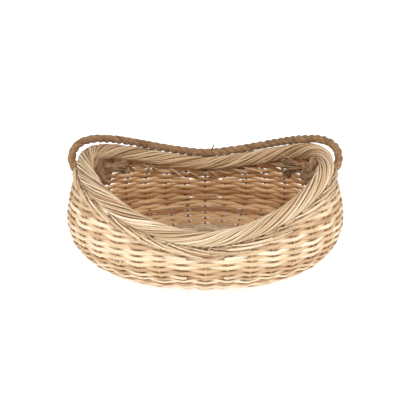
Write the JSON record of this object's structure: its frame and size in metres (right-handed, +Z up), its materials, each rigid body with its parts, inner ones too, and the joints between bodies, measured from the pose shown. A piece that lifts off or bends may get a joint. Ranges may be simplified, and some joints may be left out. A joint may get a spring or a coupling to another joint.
{
  "type": "woven fruit basket",
  "caption": "Oval willow fruit basket with a saddle-shaped rolled rim and a knotted rope bail that lies back on the rim.",
  "frame": {"origin": "centre of the flat underside of the base", "axes": "+X along the long axis, towards the right-hand rope hole; +Y towards the rim that the rope lies on; +Z up"},
  "size_m": [0.43, 0.305, 0.1831],
  "materials": {
    "willow_weave": "satin",
    "willow_stake": "satin",
    "willow_border": "satin",
    "base_stick": "satin",
    "jute_rope": "matte"
  },
  "bodies": {
    "basket": {"base_weave": "willow_weave", "base_stick_long_1": "base_stick", "base_stick_long_2": "base_stick", "base_stick_long_3": "base_stick", "base_stick_short_1": "base_stick", "base_stick_short_2": "base_stick", "base_stick_short_3": "base_stick", "base_stick_short_4": "base_stick", "base_stick_short_5": "base_stick", "stake_01": "willow_stake", "stake_02": "willow_stake", "stake_03": "willow_stake", "stake_04": "willow_stake", "stake_05": "willow_stake", "stake_06": "willow_stake", "stake_07": "willow_stake", "stake_08": "willow_stake", "stake_09": "willow_stake", "stake_10": "willow_stake", "stake_11": "willow_stake", "stake_12": "willow_stake", "stake_13": "willow_stake", "stake_14": "willow_stake", "stake_15": "willow_stake", "stake_16": "willow_stake", "stake_17": "willow_stake", "stake_18": "willow_stake", "stake_19": "willow_stake", "stake_20": "willow_stake", "stake_21": "willow_stake", "stake_22": "willow_stake", "stake_23": "willow_stake", "stake_24": "willow_stake", "stake_25": "willow_stake", "stake_26": "willow_stake", "stake_27": "willow_stake", "stake_28": "willow_stake", "stake_29": "willow_stake", "stake_30": "willow_stake", "stake_31": "willow_stake", "stake_32": "willow_stake", "stake_33": "willow_stake", "stake_34": "willow_stake", "weaver_row_01": "willow_weave", "weaver_row_02": "willow_weave", "weaver_row_03": "willow_weave", "weaver_row_04": "willow_weave", "weaver_row_05": "willow_weave", "weaver_row_06": "willow_weave", "weaver_row_07": "willow_weave", "weaver_row_08": "willow_weave", "weaver_row_09": "willow_weave", "weaver_row_10": "willow_weave", "weaver_row_11": "willow_weave", "rim_border": "willow_border", "knot_left": "jute_rope", "knot_right": "jute_rope", "frayed_end_left": "jute_rope", "frayed_end_right": "jute_rope"},
    "handle": {"rope_handle": "jute_rope"}
  },
  "joints": [
    {"name": "handle_swing", "type": "hinge", "parent": "basket", "child": "handle", "pos_m": [0, 0.007, 0.145], "axis": [1, 0, 0], "range_deg": [0, 100]}
  ]
}
